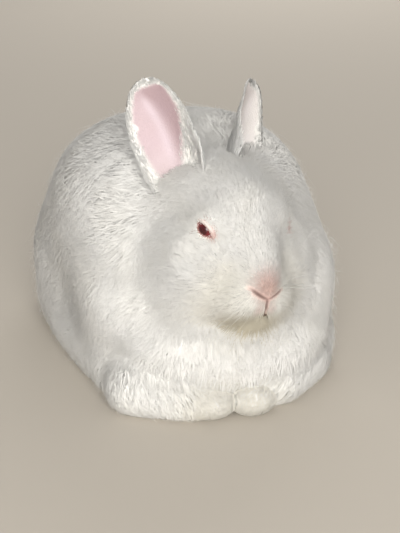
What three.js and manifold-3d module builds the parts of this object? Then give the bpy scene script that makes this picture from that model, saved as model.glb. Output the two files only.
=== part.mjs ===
// Angora rabbit lying at rest, a still life-size model: long white wool, short-furred face and ears,
// ruby eyes. Millimetres. It faces -Y, its left side is +X, +Z is up, and the origin is on the floor
// under the belly. The head is modelled in a frame of its own, centred between the eyes.
import * as THREE from 'three';
import { mergeVertices } from 'three/addons/utils/BufferGeometryUtils.js';
import Module from 'manifold-3d';

const wasm = await Module();
wasm.setup();

// Driving dimensions
const FIT_GAP = 0.35;               // between two nodes that touch
const BODY_LENGTH = 320;            // breast to rump, over the wool
const BODY_WIDTH = 208;
const TRUNK_SWAY = -5;              // the trunk lies aside from the head, negative to its right
const BACK_HEIGHT = 184;
const EYE_MIDDLE = [-2, -104, 134];
const HEAD_TURN = 14;               // degrees towards its left
const HEAD_ROLL = 6;                // degrees over to its left
const EYE_RADIUS = 8.8;
const EYE_PLACE = [26.5, -2.2, 0.8];
const LID_PLACE = [38, -6, 1.5];  // outside the middle of the opening between the lids
const EYE_TILT = 42;                // degrees, the inner corner lower than the outer one
const EYE_OPENING = [13, 6.2, 3.2];  // depth of the cut, half length and half height between the lids
const LID_ROLL = 1.5;
const EAR_LENGTH = 101;
const EAR_WIDTH = 46;
const EAR_ROOT_WIDTH = 0.48;        // share of the full width
const EAR_WIDEST = 0.52;            // share of the way up
const EAR_ROLL = [1.5, 0.55];       // half angle of the cup, root and tip
const EAR_THICK = 3.4;
const EAR_BEND = 7;                 // the tip leans this far towards the opening
const EAR_ROOT = [12.5, 38, 0];
const PAW_BARE = 17;                // short fur this far round the middle of a paw
const TAIL_PLACE = [TRUNK_SWAY, 158, 50];
const TAIL_RADII = [28, 27, 33];

// Locks of wool on each kind of coat: rise from the smooth core to the tips, length and width
const BODY_WOOL = { rise: 18, length: 72, width: 39 };
const LEG_WOOL = { rise: 7, length: 44, width: 29 };
const TAIL_WOOL = { rise: 9, length: 44, width: 29 };
const CORE_INSET = 13;              // from the even surface of the coat down to the core
const LOCK_SPACING = 1.06;          // of a lock's width
const LOCK_THICK = 4.4;
const LOCK_SINK = 5;                // depth of its root in the core
const LOCK_STEPS = 4;
const LOCK_STRIDE = 6;              // length of one step along its path
const LOCK_SIZES = [0.8, 1.2];
const LOCK_LIFTS = [0.8, 1.05];
const LOCK_TURN = 0.35;             // radians off the lie of the coat, either way
const LOCK_CURL = 0.5;
const LIE = [0, 0.74, -0.67];       // of the coat: backwards, drawn down by its weight
const WOOL_BLEND = [-4, 14];        // from the wool of a leg or the tail to that of the body
const ROOT_SITES = 6000;

const V = (x, y, z) => new THREE.Vector3(x, y, z);
const lerp = THREE.MathUtils.lerp;
const rad = THREE.MathUtils.degToRad;
const clamp01 = (t) => Math.min(1, Math.max(0, t));
const smooth = (lo, hi, t) => THREE.MathUtils.smoothstep(t, lo, hi);
const SIDES = [['right', -1], ['left', 1]];

// Repeatable random draws between 0 and 1
function draws(seed) {
  let state = seed;
  return () => {
    state = (state + 0x6d2b79f5) | 0;
    let t = Math.imul(state ^ (state >>> 15), 1 | state);
    t = (t + Math.imul(t ^ (t >>> 7), 61 | t)) ^ t;
    return ((t ^ (t >>> 14)) >>> 0) / 4294967296;
  };
}

// Forms: each takes a point and gives roughly how far it lies outside the surface
const ellipsoid = (c, r) => (p) => {
  const x = (p.x - c[0]) / r[0];
  const y = (p.y - c[1]) / r[1];
  const z = (p.z - c[2]) / r[2];
  const k = Math.hypot(x, y, z);
  return (k * (k - 1)) / Math.max(Math.hypot(x / r[0], y / r[1], z / r[2]), 1e-9);
};

const cone = (a, b, ra, rb) => {
  const from = V(...a);
  const along = V(...b).sub(from);
  return (p) => {
    const q = p.clone().sub(from);
    const t = clamp01(q.dot(along) / along.lengthSq());
    return q.addScaledVector(along, -t).length() - lerp(ra, rb, t);
  };
};

// The first form, with each [form, blend] pair melted into it
const melt = (first, ...rest) => (p) =>
  rest.reduce((d, [form, k]) => {
    const e = form(p);
    const h = clamp01(0.5 + (0.5 * (e - d)) / k);
    return lerp(e, d, h) - k * h * (1 - h);
  }, first(p));

// The first form, with each [form, blend] pair hollowed out of it
const carve = (first, ...cuts) => (p) =>
  -melt((q) => -first(q), ...cuts)(p);

const bothSides = (make, k) => [-1, 1].map((s) => [make(s), k]);
const shrunk = (form, by) => (p) => form(p) + by;

// Tips of the body wool: trunk, rump, breast, haunches, shoulders, skirt, the ruff behind the head and
// the bib that hangs over the forelegs
const trunkHigh = BACK_HEIGHT * 0.6;
const woolForm = melt(
  ellipsoid([TRUNK_SWAY, 26, BACK_HEIGHT - trunkHigh], [BODY_WIDTH * 0.48, BODY_LENGTH * 0.37, trunkHigh]),
  [ellipsoid([TRUNK_SWAY, 82, 62], [BODY_WIDTH * 0.46, 84, 102]), 24],
  [ellipsoid([TRUNK_SWAY / 2, -62, 60], [82, 66, 80]), 30],
  ...bothSides((s) => ellipsoid([TRUNK_SWAY + s * 61, 64, 44], [44, 84, 66]), 20),
  ...bothSides((s) => ellipsoid([TRUNK_SWAY / 2 + s * 48, -46, 68], [52, 56, 56]), 24),
  [ellipsoid([TRUNK_SWAY / 2, 8, 22], [BODY_WIDTH * 0.5, 126, 50]), 24],
  ...bothSides((s) => cone([s * 73 - 2.5, 80, 16], [s * 71 - 2.5, -66, 14], 25.5, 25.5), 22),
  ...bothSides((s) => ellipsoid([TRUNK_SWAY + s * 38, 10, 114], [60, 96, 66]), 24),
  [cone([0, -40, 96], [2, -66, 122], 66, 48), 26],
  [ellipsoid([-4, -100, 42], [70, 35, 33]), 22],
);

// Outer surface of the short fur on the head, hollow between each eye and the muzzle
const roundHead = melt(
  ellipsoid([0, 24, 8], [31, 34, 29]),
  ...bothSides((s) => ellipsoid([s * 20, 0, 6], [15, 18, 14]), 9),
  ...bothSides((s) => ellipsoid([s * 27, 5, -31], [25.5, 28, 32]), 12),
  [cone([0, -2, 12], [0, -25, -22], 21.5, 18), 13],
  [cone([0, -2, -18], [0, -19, -37], 23, 19), 10],
  ...bothSides((s) => ellipsoid([s * 12.5, -24.5, -45], [17, 16, 15]), 13),
  [ellipsoid([0, -36, -33], [9, 6.5, 9]), 6],
  [cone([0, 8, -47], [0, -20, -57], 19, 10), 7],
);
const headForm = carve(roundHead, ...bothSides((s) => ellipsoid([s * 48.5, -23, -9], [15, 20, 17]), 12));

const FORELEGS = [
  { name: 'foreleg_right', elbow: [-74, -94, 17], wrist: [-50, -117, 14], paw: [-29, -128, 10.5] },
  { name: 'foreleg_left', elbow: [54, -90, 17], wrist: [26, -117, 13], paw: [0, -132, 10] },
];
const forelegForm = ({ elbow, wrist, paw }, wool = LEG_WOOL.rise) => melt(
  cone(elbow, wrist, 20 + wool, 13.5 + wool),
  [ellipsoid(paw, [18, 14, 12]), 10],
);
const middleOf = ({ elbow, paw }) => elbow.map((x, i) => (x + paw[i]) / 2);

// Long hind foot, flat on the floor under the haunch
const hindFootForm = (s) => melt(
  cone([s * 64, 78, 13], [s * 68, -2, 12], 13, 12),
  [ellipsoid([s * 70, -16, 10], [15, 20, 11]), 8],
);
const tailForm = ellipsoid(TAIL_PLACE, TAIL_RADII);

const headMatrix = new THREE.Matrix4()
  .makeRotationZ(rad(HEAD_TURN))
  .multiply(new THREE.Matrix4().makeRotationY(rad(HEAD_ROLL)))
  .setPosition(...EYE_MIDDLE);

function gradient(form, p) {
  const e = 0.5;
  return V(
    form(V(p.x + e, p.y, p.z)) - form(V(p.x - e, p.y, p.z)),
    form(V(p.x, p.y + e, p.z)) - form(V(p.x, p.y - e, p.z)),
    form(V(p.x, p.y, p.z + e)) - form(V(p.x, p.y, p.z - e)),
  ).normalize();
}

// The point straight out from p that lies at the given height over a form
function atHeight(form, p, height) {
  const q = p.clone();
  for (let i = 0; i < 3; i++) q.addScaledVector(gradient(form, q), height - form(q));
  return q;
}

// Outermost crossing of a form's surface along a ray
function shellPoint(form, centre, direction) {
  let t = 260;
  for (let i = 0; i < 60; i++) {
    const d = form(centre.clone().addScaledVector(direction, t));
    if (d < 0.02) break;
    t -= d * 0.8;
  }
  return centre.clone().addScaledVector(direction, t);
}

function merged(geometry) {
  const bare = geometry.clone();
  bare.deleteAttribute('normal');
  bare.deleteAttribute('uv');
  return mergeVertices(bare, 1e-4);
}

function solid(geometry, matrix = new THREE.Matrix4()) {
  const g = merged(geometry).applyMatrix4(matrix);
  return new wasm.Manifold(new wasm.Mesh({
    numProp: 3,
    vertProperties: g.getAttribute('position').array,
    triVerts: new Uint32Array(g.index.array),
  }));
}

function indexed(points, index) {
  const places = new Float32Array(points.flatMap((p) => p.toArray()));
  const g = new THREE.BufferGeometry();
  g.setAttribute('position', new THREE.BufferAttribute(places, 3));
  g.setIndex(index);
  return g;
}

// The same solid whichever way round its triangles were listed
function eitherWay(points, index, matrix) {
  const body = solid(indexed(points, index), matrix);
  return body.volume() > 0 ? body : solid(indexed(points, index.slice().reverse()), matrix);
}

// A closed skin on a form, seen from a centre inside it
function skinOf(form, centre, detail, matrix) {
  const geometry = merged(new THREE.IcosahedronGeometry(1, detail));
  const at = geometry.getAttribute('position');
  const middle = V(...centre);
  for (let i = 0; i < at.count; i++) {
    const direction = new THREE.Vector3().fromBufferAttribute(at, i).normalize();
    const p = shellPoint(form, middle, direction);
    at.setXYZ(i, p.x, p.y, p.z);
  }
  return solid(geometry, matrix);
}

const egg = (centre, radii, detail) =>
  solid(new THREE.IcosahedronGeometry(1, detail).scale(...radii).translate(...centre));

// A closed strip through rows of three points: left edge, crest and right edge
function strip(rows, matrix) {
  const index = [0, 1, 2];
  for (let i = 0; i + 1 < rows.length; i++) {
    for (let j = 0; j < 3; j++) {
      const a = i * 3 + j;
      const b = i * 3 + ((j + 1) % 3);
      index.push(a, a + 3, b, b, a + 3, b + 3);
    }
  }
  const last = (rows.length - 1) * 3;
  index.push(last, last + 2, last + 1);
  return eitherWay(rows.flat(), index, matrix);
}

// A closed ring of round section through points of a closed path
function ring(path, radius, sides, matrix) {
  const middle = path.reduce((sum, p) => sum.add(p), V(0, 0, 0)).divideScalar(path.length);
  const points = [];
  const index = [];
  path.forEach((p, i) => {
    const along = path[(i + 1) % path.length].clone().sub(path.at(i - 1)).normalize();
    const out = p.clone().sub(middle);
    out.addScaledVector(along, -out.dot(along)).normalize();
    const up = new THREE.Vector3().crossVectors(along, out);
    for (let j = 0; j < sides; j++) {
      const a = (j / sides) * 2 * Math.PI;
      const from = p.clone().addScaledVector(out, radius * Math.cos(a));
      points.push(from.addScaledVector(up, radius * Math.sin(a)));
      const b = (j + 1) % sides;
      const next = ((i + 1) % path.length) * sides;
      index.push(i * sides + j, next + j, i * sides + b, i * sides + b, next + j, next + b);
    }
  });
  return eitherWay(points, index, matrix);
}

const joined = (solids) => wasm.Manifold.union(solids);

const largest = (body) =>
  body.decompose().reduce((a, b) => (Math.abs(b.volume()) > Math.abs(a.volume()) ? b : a));

function block(low, high) {
  const size = high.map((h, i) => h - low[i]);
  const middle = high.map((h, i) => (h + low[i]) / 2);
  return solid(new THREE.BoxGeometry(...size).translate(...middle));
}
const ABOVE_FLOOR = block([-300, -300, 0], [300, 300, 400]);

function meshOf(body, name, material) {
  const m = largest(body).getMesh();
  const g = new THREE.BufferGeometry();
  g.setAttribute('position', new THREE.BufferAttribute(new Float32Array(m.vertProperties), 3));
  g.setIndex(new THREE.BufferAttribute(new Uint32Array(m.triVerts), 1));
  g.computeVertexNormals();
  const mesh = new THREE.Mesh(g, material);
  mesh.name = name;
  return mesh;
}

// Ear: a sheet rolled into a cup, nearly closed at its root and open and round towards its tip
function earHalfWidth(u) {
  const lower = lerp(EAR_ROOT_WIDTH, 1, Math.sin((Math.min(u / EAR_WIDEST, 1) * Math.PI) / 2));
  const upper = Math.sqrt(1 - clamp01((u - EAR_WIDEST) / (1 - EAR_WIDEST)) ** 2.3);
  return (EAR_WIDTH / 2) * lower * upper;
}

function earGeometry(grow) {
  const ROWS = 12;
  const COLUMNS = 6;
  const points = [];
  const index = [];
  for (let i = 0; i <= ROWS; i++) {
    const u = Math.sin((i / ROWS) * Math.PI / 2) ** 1.2;
    const half = Math.max(earHalfWidth(u), 2) + grow;
    const roll = lerp(...EAR_ROLL, smooth(0, 0.95, u));
    const radius = half / Math.sin(roll);
    for (let j = 0; j <= COLUMNS; j++) {
      const v = (j / COLUMNS) * 2 - 1;
      const angle = v * roll;
      const thick = EAR_THICK * (1 - 0.45 * v * v) * (1 - 0.45 * u * u) + 2 * grow;
      for (const r of [radius + thick / 2, radius - thick / 2]) {
        const forward = radius - r * Math.cos(angle) + EAR_BEND * u * u;
        points.push(V(r * Math.sin(angle), forward, u * EAR_LENGTH));
      }
    }
  }
  const id = (i, j, face) => (i * (COLUMNS + 1) + j) * 2 + face;
  const quad = (a, b, c, d) => index.push(a, b, c, a, c, d);
  for (let i = 0; i < ROWS; i++) {
    for (let j = 0; j < COLUMNS; j++) {
      quad(id(i, j, 0), id(i, j + 1, 0), id(i + 1, j + 1, 0), id(i + 1, j, 0));
      quad(id(i + 1, j, 1), id(i + 1, j + 1, 1), id(i, j + 1, 1), id(i, j, 1));
    }
    quad(id(i, 0, 0), id(i + 1, 0, 0), id(i + 1, 0, 1), id(i, 0, 1));
    quad(id(i, COLUMNS, 1), id(i + 1, COLUMNS, 1), id(i + 1, COLUMNS, 0), id(i, COLUMNS, 0));
  }
  for (let j = 0; j < COLUMNS; j++) {
    quad(id(0, j, 1), id(0, j + 1, 1), id(0, j + 1, 0), id(0, j, 0));
    quad(id(ROWS, j, 0), id(ROWS, j + 1, 0), id(ROWS, j + 1, 1), id(ROWS, j, 1));
  }
  return indexed(points, index);
}

// How each ear leans, out, back and up, and the angle that its opening is turned outwards
const EARS = {
  right: { lean: [0.29, 0.31, 0.92], opening: 42 },
  left: { lean: [0.36, 0.35, 0.87], opening: 25 },
};

function earSolid(name, side, grow = 0) {
  const { lean, opening } = EARS[name];
  const up = V(side * lean[0], lean[1], lean[2]).normalize();
  const open = V(side * Math.sin(rad(opening)), -Math.cos(rad(opening)), 0);
  open.addScaledVector(up, -open.dot(up)).normalize();
  const across = new THREE.Vector3().crossVectors(open, up);
  const frame = new THREE.Matrix4().makeBasis(across, open, up);
  frame.setPosition(side * EAR_ROOT[0], EAR_ROOT[1], EAR_ROOT[2]);
  return solid(earGeometry(grow), headMatrix.clone().multiply(frame));
}

// Head: skin, lids round each eye, nostrils, cleft lip and the line of the mouth
const headSkin = (grow = 0) => skinOf((p) => headForm(p) - grow, [0, 4, -16], 7, headMatrix);
const eyeball = (s, grow = 0) =>
  solid(new THREE.IcosahedronGeometry(EYE_RADIUS + grow, 2)
    .translate(s * EYE_PLACE[0], EYE_PLACE[1], EYE_PLACE[2]), headMatrix);
const lidOpening = (s) =>
  solid(new THREE.IcosahedronGeometry(1, 2)
    .scale(...EYE_OPENING)
    .rotateX(rad(EYE_TILT))
    .translate(s * LID_PLACE[0], LID_PLACE[1], LID_PLACE[2]), headMatrix);

function lids(s) {
  const POINTS = 12;
  const path = [];
  for (let i = 0; i < POINTS; i++) {
    const a = (i / POINTS) * 2 * Math.PI;
    const across = Math.cos(a) * (EYE_OPENING[1] + 0.6);
    const up = Math.sin(a) * (EYE_OPENING[2] + 0.4);
    const y = LID_PLACE[1] + across * Math.cos(rad(EYE_TILT)) - up * Math.sin(rad(EYE_TILT));
    const z = LID_PLACE[2] + across * Math.sin(rad(EYE_TILT)) + up * Math.cos(rad(EYE_TILT));
    path.push(shellPoint(headForm, V(0, y, z), V(s, 0, 0)));
  }
  return ring(path, LID_ROLL, 4, headMatrix);
}

// A groove cut along a path on the face, fading out at both ends
function furrow(path, width, depth) {
  const curve = new THREE.CatmullRomCurve3(path.map((p) => V(...p)));
  const STEPS = 5;
  const rows = [];
  for (let i = 0; i <= STEPS; i++) {
    const t = i / STEPS;
    const fade = 0.25 + 0.75 * Math.sin(Math.PI * t) ** 0.5;
    const p = atHeight(headForm, curve.getPoint(t), 0);
    const out = gradient(headForm, p);
    const side = new THREE.Vector3().crossVectors(curve.getTangent(t), out).normalize();
    const edge = (w) => p.clone().addScaledVector(side, w * fade).addScaledVector(out, 1.2);
    rows.push([edge(-width / 2), p.clone().addScaledVector(out, -depth * fade), edge(width / 2)]);
  }
  return strip(rows, headMatrix);
}

const faceLines = () => [
  ...SIDES.map(([, s]) => furrow([[s * 13.5, -36, -32], [s * 8.3, -40, -36.5], [s, -40, -41]], 2.4, 2.6)),
  furrow([[0, -40, -40.5], [0, -40, -48], [0, -39, -54]], 1.8, 2),
  ...SIDES.map(([, s]) => furrow([[0, -39, -54.5], [s * 4, -37, -57], [s * 10, -33, -58]], 2, 2.4)),
];

const hindFoot = (s, grow = 0) =>
  skinOf((p) => hindFootForm(s)(p) - grow, [s * 66, 32, 12], 2).intersect(ABOVE_FLOOR);

// Smooth core of the whole coat, and the wool that grows on it at each place
const coreForm = melt(
  shrunk(woolForm, CORE_INSET),
  ...FORELEGS.map((leg) => [forelegForm(leg, 0), 8]),
  [shrunk(tailForm, TAIL_WOOL.rise), 8],
);
const BODY_MIDDLE = [0, 20, 70];

function woolAt(p) {
  const kind = { ...BODY_WOOL };
  const blends = [...FORELEGS.map((leg) => [forelegForm(leg), LEG_WOOL]), [tailForm, TAIL_WOOL]];
  blends.forEach(([form, near]) => {
    const share = 1 - smooth(...WOOL_BLEND, form(p));
    Object.keys(kind).forEach((key) => (kind[key] = lerp(kind[key], near[key], share)));
  });
  return kind;
}

// Bare of locks: under the head, and the paws with their short fur
const headInverse = headMatrix.clone().invert();
const isBare = (p) =>
  headForm(p.clone().applyMatrix4(headInverse)) < 1 ||
  FORELEGS.some(({ paw }) => p.distanceTo(V(...paw)) < PAW_BARE);

// Lie of the coat on a surface that faces along the normal
function lieAt(normal, turn) {
  const lie = V(...LIE);
  lie.addScaledVector(normal, -lie.dot(normal)).normalize();
  return lie.applyAxisAngle(normal, turn);
}

// One lock from its root on the core: flat, tapered, lifting to the tips. Gives nothing where there
// is no room for it.
function lock(root, draw) {
  const kind = woolAt(root);
  const size = lerp(...LOCK_SIZES, draw());
  const turn = lerp(-LOCK_TURN, LOCK_TURN, draw());
  const curl = lerp(-LOCK_CURL, LOCK_CURL, draw());
  const lift = lerp(...LOCK_LIFTS, draw());
  const length = kind.length * size;
  const path = [root];
  while ((path.length - 1) * LOCK_STRIDE < length) {
    const p = path.at(-1);
    const t = ((path.length - 1) * LOCK_STRIDE) / length;
    const step = lieAt(gradient(coreForm, p), turn + curl * t).multiplyScalar(LOCK_STRIDE);
    const q = atHeight(coreForm, step.add(p), 0);
    if (isBare(q) || q.z < 2) break;
    path.push(q);
  }
  if (path.length < 3) return [];
  const share = clamp01(((path.length - 1) * LOCK_STRIDE) / length);
  const curve = new THREE.CatmullRomCurve3(path);
  const half = (kind.width / 2) * size * (0.5 + 0.5 * share);
  const rise = kind.rise * (0.45 + 0.55 * share) * lift;
  const rows = [];
  for (let i = 0; i <= LOCK_STEPS; i++) {
    const t = i / LOCK_STEPS;
    const height = lerp(-LOCK_SINK, rise, t ** 0.7);
    const wide = half * Math.max(0.04, (1 - t) ** 0.75 * (0.8 + 0.9 * t));
    const thick = LOCK_THICK * Math.max(0.12, 1 - t * t);
    const p = curve.getPoint(t);
    const out = gradient(coreForm, p);
    const side = new THREE.Vector3().crossVectors(curve.getTangent(t), out).normalize();
    const edge = (w) => atHeight(coreForm, p.clone().addScaledVector(side, w), height - thick * 0.4);
    rows.push([edge(-wide), atHeight(coreForm, p, height + thick * 0.6), edge(wide)]);
  }
  return [strip(rows)];
}

// Locks spread evenly over the whole core
function locks() {
  const draw = draws(11);
  const GOLDEN = Math.PI * (3 - Math.sqrt(5));
  const roots = [];
  const grown = [];
  for (let i = 0; i < ROOT_SITES; i++) {
    const up = 1 - (2 * i + 1) / ROOT_SITES;
    const around = i * GOLDEN;
    const flat = Math.sqrt(1 - up * up);
    const direction = V(flat * Math.cos(around), flat * Math.sin(around), up);
    const root = shellPoint(coreForm, V(...BODY_MIDDLE), direction);
    if (root.z < 8 || isBare(root)) continue;
    const spacing = woolAt(root).width * LOCK_SPACING;
    if (roots.some((r) => r.distanceTo(root) < spacing)) continue;
    roots.push(root);
    grown.push(...lock(root, draw));
  }
  return grown;
}

// Territories that part the coat into its nodes, each with a way to make it a little larger
const grownEgg = (centre, radii) => (grow) => egg(centre, radii.map((r) => r + grow), 4);
const AREAS = [
  ...FORELEGS.map((leg) =>
    [leg.name, (grow) => skinOf((p) => forelegForm(leg)(p) - 7 - grow, middleOf(leg), 3)]),
  ['tail', grownEgg(TAIL_PLACE, TAIL_RADII.map((r) => r + TAIL_WOOL.rise))],
  ...SIDES.map(([name, s]) => [`haunch_${name}`, grownEgg([s * 112, 92, 26], [82, 112, 92])]),
  ['neck', grownEgg([0, -66, 146], [88, 54, 66])],
  ['chest', grownEgg([0, -142, 62], [150, 92, 150])],
];

// Materials
const finish = (color, roughness) => new THREE.MeshStandardMaterial({ color, roughness, metalness: 0 });
const wool = finish(0xebe8e0, 0.95);
const shortFur = finish(0xf0ebe2, 0.9);
const earSkin = finish(0xe6c4c2, 0.75);
const eyeRed = finish(0x5a1a1c, 0.12);

// Coat, parted area by area: the torso is what is left
const rabbit = new THREE.Group();
const hardPieces = joined([
  headSkin(FIT_GAP),
  ...SIDES.flatMap(([name, s]) => [earSolid(name, s, FIT_GAP), hindFoot(s, FIT_GAP)]),
]);
const core = [
  skinOf(coreForm, BODY_MIDDLE, 7),
  ...FORELEGS.map((leg) => skinOf(forelegForm(leg, 0), middleOf(leg), 3)),
];
const coat = joined([...core, ...locks()]).intersect(ABOVE_FLOOR);
let left = coat.subtract(hardPieces);
AREAS.forEach(([name, area]) => {
  rabbit.add(meshOf(left.intersect(area(0)), name, wool));
  left = left.subtract(area(FIT_GAP));
});
rabbit.add(meshOf(left, 'torso', wool));

// Head, ears, eyes and hind feet
const sockets = joined(SIDES.flatMap(([, s]) => [eyeball(s, FIT_GAP), lidOpening(s)]));
const face = joined([headSkin(), ...SIDES.map(([, s]) => lids(s))]);
rabbit.add(meshOf(face.subtract(sockets).subtract(joined(faceLines())), 'head', shortFur));
SIDES.forEach(([name, s]) => {
  rabbit.add(meshOf(earSolid(name, s).subtract(headSkin(FIT_GAP)), `ear_${name}`, earSkin));
  rabbit.add(meshOf(eyeball(s), `eye_${name}`, eyeRed));
  rabbit.add(meshOf(hindFoot(s), `hind_foot_${name}`, shortFur));
});

export default rabbit;
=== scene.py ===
from math import cos, pi, radians, sin

import bmesh
import bpy
import numpy as np
from mathutils import Matrix, Vector


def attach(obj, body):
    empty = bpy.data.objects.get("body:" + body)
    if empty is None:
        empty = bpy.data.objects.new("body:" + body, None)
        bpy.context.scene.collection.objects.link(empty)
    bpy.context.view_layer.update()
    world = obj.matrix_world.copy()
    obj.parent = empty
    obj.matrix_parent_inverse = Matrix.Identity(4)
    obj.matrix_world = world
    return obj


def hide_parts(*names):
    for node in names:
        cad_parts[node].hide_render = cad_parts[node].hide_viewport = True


# Looks of a lying angora rabbit: one skin with a face, ears and feet, a coat of fine tufts, ruby eyes and
# whiskers. Forms are worked out in millimetres, in the frame of the solids, and every mesh is made in
# metres. The rabbit faces -Y, its left side is +X, and the floor is at z = 0. A side s is -1 for the
# rabbit's right and 1 for its left.

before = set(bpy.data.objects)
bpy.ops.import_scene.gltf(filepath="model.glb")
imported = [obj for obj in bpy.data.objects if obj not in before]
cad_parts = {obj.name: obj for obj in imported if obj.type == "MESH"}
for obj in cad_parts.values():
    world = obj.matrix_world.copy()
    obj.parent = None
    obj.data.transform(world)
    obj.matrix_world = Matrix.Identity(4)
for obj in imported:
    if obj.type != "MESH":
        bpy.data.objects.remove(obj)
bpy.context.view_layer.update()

MM = 0.001

# Driving sizes, as in the solids
BODY_LENGTH = 320.0
BODY_WIDTH = 208.0
TRUNK_SWAY = -5.0  # the trunk lies aside from the head, negative to its right
BACK_HEIGHT = 184.0
EYE_MIDDLE = np.array([-2.0, -104.0, 134.0])
HEAD_TURN = 14.0
HEAD_ROLL = 6.0
EYE_RADIUS = 8.8
EYE_PLACE = np.array([26.5, -2.2, 0.8])
LID_PLACE = np.array([38.0, -6.0, 1.5])
LID_THICK = 0.8
EYE_TILT = 42.0
EYE_OPENING = (6.2, 2.9, 2.5)  # half length, and height of the upper and lower lid's arch
EAR_LENGTH = 101.0
EAR_WIDTH = 46.0
EAR_ROOT_WIDTH = 0.48
EAR_WIDEST = 0.52
EAR_ROLL = (1.5, 0.55)
EAR_THICK = 3.0
EAR_BEND = 7.0
EAR_ROOT = np.array([12.5, 38.0, 0.0])
EARS = {
    -1: {"lean": (-0.29, 0.31, 0.92), "opening": 42.0, "flush": 1.0},
    1: {"lean": (0.36, 0.35, 0.87), "opening": 25.0, "flush": 0.25},
}
TAIL_PLACE = (TRUNK_SWAY, 158.0, 50.0)
TAIL_RADII = (28.0, 27.0, 33.0)
LEG_WOOL = 7.0
FORELEGS = (
    {"elbow": (-74, -94, 17), "wrist": (-50, -117, 14), "paw": (-29, -128, 10.5)},
    {"elbow": (54, -90, 17), "wrist": (26, -117, 13), "paw": (0, -132, 10)},
)
SIDES = {"right": -1, "left": 1}

# Depth of the coat over the skin
BODY_COAT = 14.0
TAIL_COAT = 11.0
LEG_COAT = 10.0
PAW_COAT = 2.2
HEAD_COAT = 3.0
LEAST_COAT = 0.5

# Camera, set for the eyes of the rabbit at their place in a picture of 400 by 533
CAMERA_AZIMUTH = -20.0
CAMERA_ELEVATION = 22.0
CAMERA_LENS = 75.0
CAMERA_DISTANCE = 777.0
CAMERA_TARGET = (0.0, -104.0, 137.0)
TARGET_PIXEL = (240.5, 220.5)
PICTURE = (400, 533)
SENSOR = 36.0

# Lights and floor
KEY_LIGHT = {"place": (-0.67, -2.3, 0.94), "size": 1.9, "power": 93, "colour": (1.0, 0.98, 0.94)}
FILL_LIGHT = {"place": (1.0, 2.0, 1.3), "size": 1.8, "power": 20, "colour": (1.0, 0.98, 0.95)}
SKY_COLOUR = (1.0, 0.98, 0.95, 1)
SKY_STRENGTH = 0.42
FLOOR_HALF = 5000.0
FLOOR_COLOUR = (0.48, 0.44, 0.385, 1)

FLOOR_GAP = 0.6  # the skin ends this far above the floor
COAT_FLOOR = 0.5  # no tuft reaches lower
HEAD_MELT = 21  # how broadly the wool runs into the head's outer surface
NECK_MELT = 14  # and the body's skin into the head's

COAT_SEED = 7
WHISKER_SEED = 5
random = np.random.default_rng(COAT_SEED)


def unit(v):
    return v / np.maximum(np.linalg.norm(v, axis=-1, keepdims=True), 1e-9)


def norm(v):
    return np.linalg.norm(v, axis=-1)


def smooth(low, high, t):
    """From 0 at low to 1 at high."""
    s = np.clip((t - low) / (high - low), 0, 1)
    return s * s * (3 - 2 * s)


def fall(low, high, t):
    """From 1 at low to 0 at high."""
    return 1 - smooth(low, high, t)


def lerp(a, b, t):
    return a + (b - a) * t


def round_turn(count):
    return np.linspace(0, 2 * pi, count, endpoint=False)


# Forms: each takes points and gives roughly how far they lie outside its surface
def ellipsoid(centre, radii):
    centre, radii = np.array((centre, radii), float)

    def form(p):
        q = (p - centre) / radii
        near = norm(q)
        return near * (near - 1) / np.maximum(norm(q / radii), 1e-9)

    return form


def cone(a, b, radius_a, radius_b):
    a = np.array(a, float)
    along = np.array(b, float) - a

    def form(p):
        q = p - a
        t = np.clip(q @ along / (along @ along), 0, 1)
        return norm(q - t[..., None] * along) - lerp(radius_a, radius_b, t)

    return form


def melt_values(d, e, k):
    h = np.clip(0.5 + 0.5 * (e - d) / k, 0, 1)
    return lerp(e, d, h) - k * h * (1 - h)


def carve_values(d, cut, k):
    return -melt_values(-d, cut, k)


def melt(first, *rest):
    def form(p):
        d = first(p)
        for other, k in rest:
            d = melt_values(d, other(p), k)
        return d

    return form


def both_sides(make, k):
    return [(make(s), k) for s in (-1, 1)]


def shifted(form, by):
    return lambda p: form(p) + by


# The body in its wool: back, rump, breast, haunches, shoulders, belly, flanks, loins, neck and brisket
TRUNK_HIGH = BACK_HEIGHT * 0.6
wool_form = melt(
    ellipsoid(
        (TRUNK_SWAY, 26, BACK_HEIGHT - TRUNK_HIGH),
        (BODY_WIDTH * 0.48, BODY_LENGTH * 0.37, TRUNK_HIGH),
    ),
    (ellipsoid((TRUNK_SWAY, 82, 62), (BODY_WIDTH * 0.46, 84, 102)), 24),
    (ellipsoid((TRUNK_SWAY / 2, -62, 60), (82, 66, 80)), 30),
    *both_sides(lambda s: ellipsoid((TRUNK_SWAY + s * 61, 64, 44), (44, 84, 66)), 20),
    *both_sides(lambda s: ellipsoid((TRUNK_SWAY / 2 + s * 48, -46, 68), (52, 56, 56)), 24),
    (ellipsoid((TRUNK_SWAY / 2, 8, 22), (BODY_WIDTH * 0.5, 126, 50)), 24),
    *both_sides(lambda s: cone((s * 73 - 2.5, 80, 16), (s * 71 - 2.5, -66, 14), 25.5, 25.5), 22),
    *both_sides(lambda s: ellipsoid((TRUNK_SWAY + s * 38, 10, 114), (60, 96, 66)), 24),
    (cone((0, -40, 96), (2, -66, 122), 66, 48), 26),
    (ellipsoid((-4, -100, 42), (70, 35, 33)), 22),
)

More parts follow.
